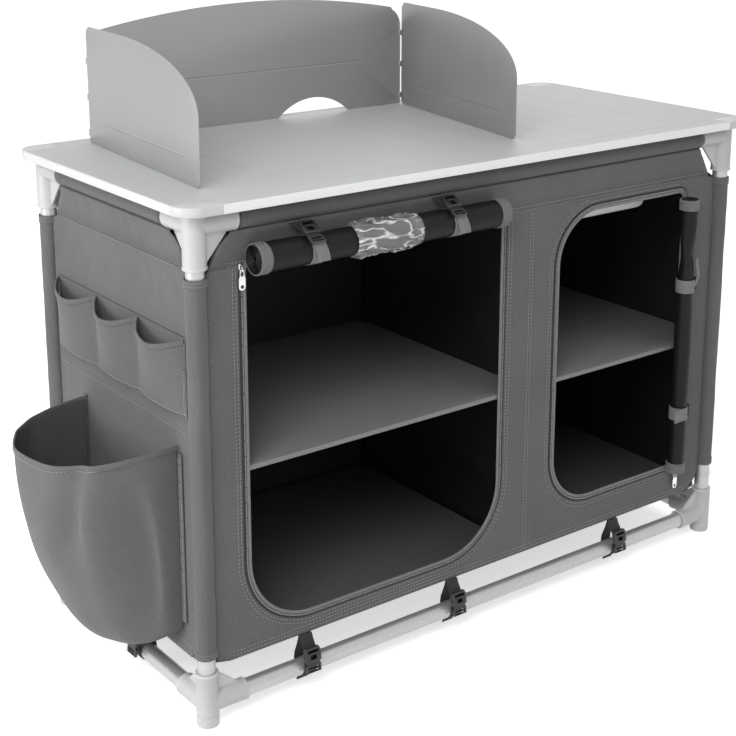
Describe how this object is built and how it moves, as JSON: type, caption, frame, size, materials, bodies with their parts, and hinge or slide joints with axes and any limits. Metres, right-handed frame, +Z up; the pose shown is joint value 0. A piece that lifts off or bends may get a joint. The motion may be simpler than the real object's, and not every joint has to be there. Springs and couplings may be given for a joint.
{
  "type": "camp kitchen unit",
  "caption": "Folding camp kitchen unit: boarded worktop with a lift-out basin and hinged windshield on an aluminium tube frame holding a zipped fabric cupboard.",
  "frame": {"origin": "on the ground, under the middle of the whole unit's bounding box", "axes": "+X to the right seen from the front, +Y from the doors to the back, +Z up"},
  "size_m": [1.3064, 0.5588, 1.01],
  "materials": {
    "aluminium": "satin anodised tube",
    "corner_plastic": "light grey moulded plastic",
    "worktop_board": "fibre board with a light grey satin laminate",
    "steel_sheet": "thin sheet with a dull mill finish",
    "basin_plastic": "light grey moulded plastic",
    "shelf_board": "thin fibre board, grey laminate",
    "canvas": "coated woven polyester, dark grey",
    "webbing": "woven strap with a black buckle",
    "zip_metal": "bright nickelled zip parts"
  },
  "bodies": {
    "frame": {"leg_front_left": "aluminium", "leg_front_right": "aluminium", "leg_back_left": "aluminium", "leg_back_right": "aluminium", "top_rail_front": "aluminium", "top_rail_back": "aluminium", "top_rail_left": "aluminium", "top_rail_right": "aluminium", "low_rail_front": "aluminium", "low_rail_back": "aluminium", "low_rail_left": "aluminium", "low_rail_right": "aluminium", "top_connector_front_left": "corner_plastic", "top_connector_front_right": "corner_plastic", "top_connector_back_left": "corner_plastic", "top_connector_back_right": "corner_plastic", "foot_connector_front_left": "corner_plastic", "foot_connector_front_right": "corner_plastic", "foot_connector_back_left": "corner_plastic", "foot_connector_back_right": "corner_plastic", "shelf_left": "shelf_board", "shelf_right": "shelf_board", "floor_board_left": "shelf_board", "floor_board_right": "shelf_board", "cabinet_front": "canvas", "cabinet_back": "canvas", "cabinet_left": "canvas", "cabinet_right": "canvas", "cabinet_inner": "canvas", "cutlery_pocket": "canvas", "bottle_bag": "canvas", "left_door_roll": "canvas", "right_door_roll": "canvas", "tie_front_1": "webbing", "tie_front_2": "webbing", "tie_front_3": "webbing", "tie_left": "webbing", "tie_right": "webbing", "left_zip_slider": "zip_metal", "right_zip_slider": "zip_metal"},
    "worktop": {"worktop_rim_front": "aluminium", "worktop_rim_back": "aluminium", "worktop_frame": "worktop_board", "worktop_end_right": "worktop_board", "basin_seat": "worktop_board", "corner_cap_front_left": "corner_plastic", "corner_cap_front_right": "corner_plastic", "corner_cap_back_left": "corner_plastic", "corner_cap_back_right": "corner_plastic", "worktop_board_1": "worktop_board", "worktop_board_2": "worktop_board", "worktop_board_3": "worktop_board"},
    "windshield": {"windshield_back": "steel_sheet"},
    "wing_left": {"windshield_wing_left": "steel_sheet"},
    "wing_right": {"windshield_wing_right": "steel_sheet"},
    "basin": {"sink_basin": "basin_plastic"},
    "lid": {"sink_lid": "worktop_board"},
    "pull_left": {"left_zip_pull": "zip_metal"},
    "pull_right": {"right_zip_pull": "zip_metal"}
  },
  "joints": [
    {"name": "worktop_lift", "type": "slide", "parent": "frame", "child": "worktop", "axis": [0, 0, 1], "range_m": [0, 0.2]},
    {"name": "windshield_lift", "type": "slide", "parent": "worktop", "child": "windshield", "axis": [0, 0, 1], "range_m": [0, 0.06]},
    {"name": "wing_left_hinge", "type": "hinge", "parent": "windshield", "child": "wing_left", "pos_m": [-0.39235, 0.24545, 0.8003], "axis": [0, 0, 1], "range_deg": [-84, 93]},
    {"name": "wing_right_hinge", "type": "hinge", "parent": "windshield", "child": "wing_right", "pos_m": [0.24765, 0.24545, 0.8003], "axis": [0, 0, -1], "range_deg": [-100, 75]},
    {"name": "basin_lift", "type": "slide", "parent": "worktop", "child": "basin", "axis": [0, 0, 1], "range_m": [0, 0.16]},
    {"name": "lid_lift", "type": "slide", "parent": "basin", "child": "lid", "axis": [0, 0, 1], "range_m": [0, 0.1]},
    {"name": "left_zip_pull_swing", "type": "hinge", "parent": "frame", "child": "pull_left", "pos_m": [-0.40335, -0.22805, 0.6925], "axis": [-1, 0, 0], "range_deg": [0, 150]},
    {"name": "right_zip_pull_swing", "type": "hinge", "parent": "frame", "child": "pull_right", "pos_m": [0.53365, -0.22805, 0.138], "axis": [-1, 0, 0], "range_deg": [0, 85]}
  ]
}
